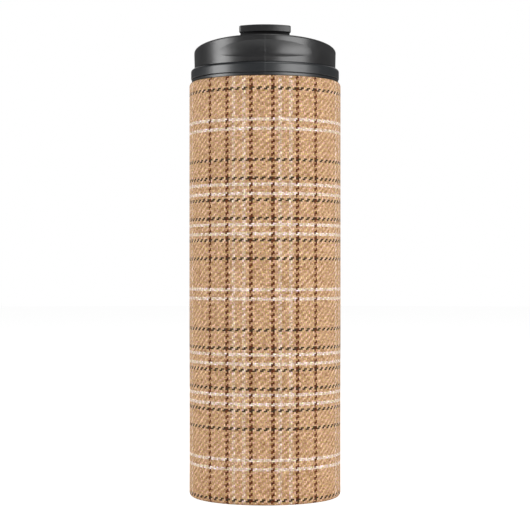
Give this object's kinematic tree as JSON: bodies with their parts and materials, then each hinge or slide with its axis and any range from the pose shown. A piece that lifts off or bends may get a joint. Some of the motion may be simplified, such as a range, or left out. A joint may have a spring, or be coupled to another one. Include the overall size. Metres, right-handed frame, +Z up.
{
  "type": "vacuum flask",
  "caption": "Straight double-walled vacuum flask in a woven plaid wrap, with a black screw-in sip lid that has a sloping rim, a lip scoop and a flip lever.",
  "frame": {"origin": "centre of the foot pad's underside, on the standing surface", "axes": "+Z up through the mouth, -Y towards the drinking side, where the lip scoop and the lever's tip are"},
  "size_m": [0.071, 0.071, 0.2175],
  "materials": {
    "wrap_fabric": "tan twill with a plaid of dark brown, rust and cream stripes",
    "steel": "stainless steel, fine turned brushing",
    "solder_glass": "opaque grey glass",
    "getter": "sintered grey metal",
    "foot_rubber": "matt black",
    "foil": "bright foil",
    "silicone": "dark grey silicone, satin",
    "plug_plastic": "black, fine matt texture",
    "collar_plastic": "charcoal satin",
    "cap_plastic": "charcoal satin",
    "pin_steel": "ground steel rod",
    "lever_plastic": "black satin"
  },
  "bodies": {
    "flask": {"woven_wrap": "wrap_fabric", "outer_shell": "steel", "base_plate": "steel", "seal_bead": "solder_glass", "getter_pellet": "getter", "getter_strap": "steel", "foot_pad": "foot_rubber", "liner_wall": "steel", "liner_bottom": "steel", "foil_shield": "foil"},
    "gasket": {"lid_gasket": "silicone"},
    "lid": {"lid_plug": "plug_plastic", "drink_channel": "plug_plastic", "lid_collar": "collar_plastic", "lid_cap": "cap_plastic", "hinge_pin": "pin_steel"},
    "lever": {"lever_cover": "lever_plastic", "lever_body": "lever_plastic", "sip_seal": "silicone", "vent_seal": "silicone"}
  },
  "joints": [
    {"name": "lid_lift", "type": "slide", "parent": "flask", "child": "gasket", "axis": [0, 0, 1], "range_m": [0, 0.0226]},
    {"name": "lid_turn", "type": "hinge", "parent": "gasket", "child": "lid", "pos_m": [0, 0, 0.19], "axis": [0, 0, 1], "range_deg": [0, 900]},
    {"name": "lever_flip", "type": "hinge", "parent": "lid", "child": "lever", "pos_m": [0, 0.00138, 0.21119], "axis": [-1, 0, 0], "range_deg": [0, 178]}
  ],
  "couplings": [
    {"joint": "lid_lift", "follows": "lid_turn", "m_per_rad": 0.0014324}
  ]
}
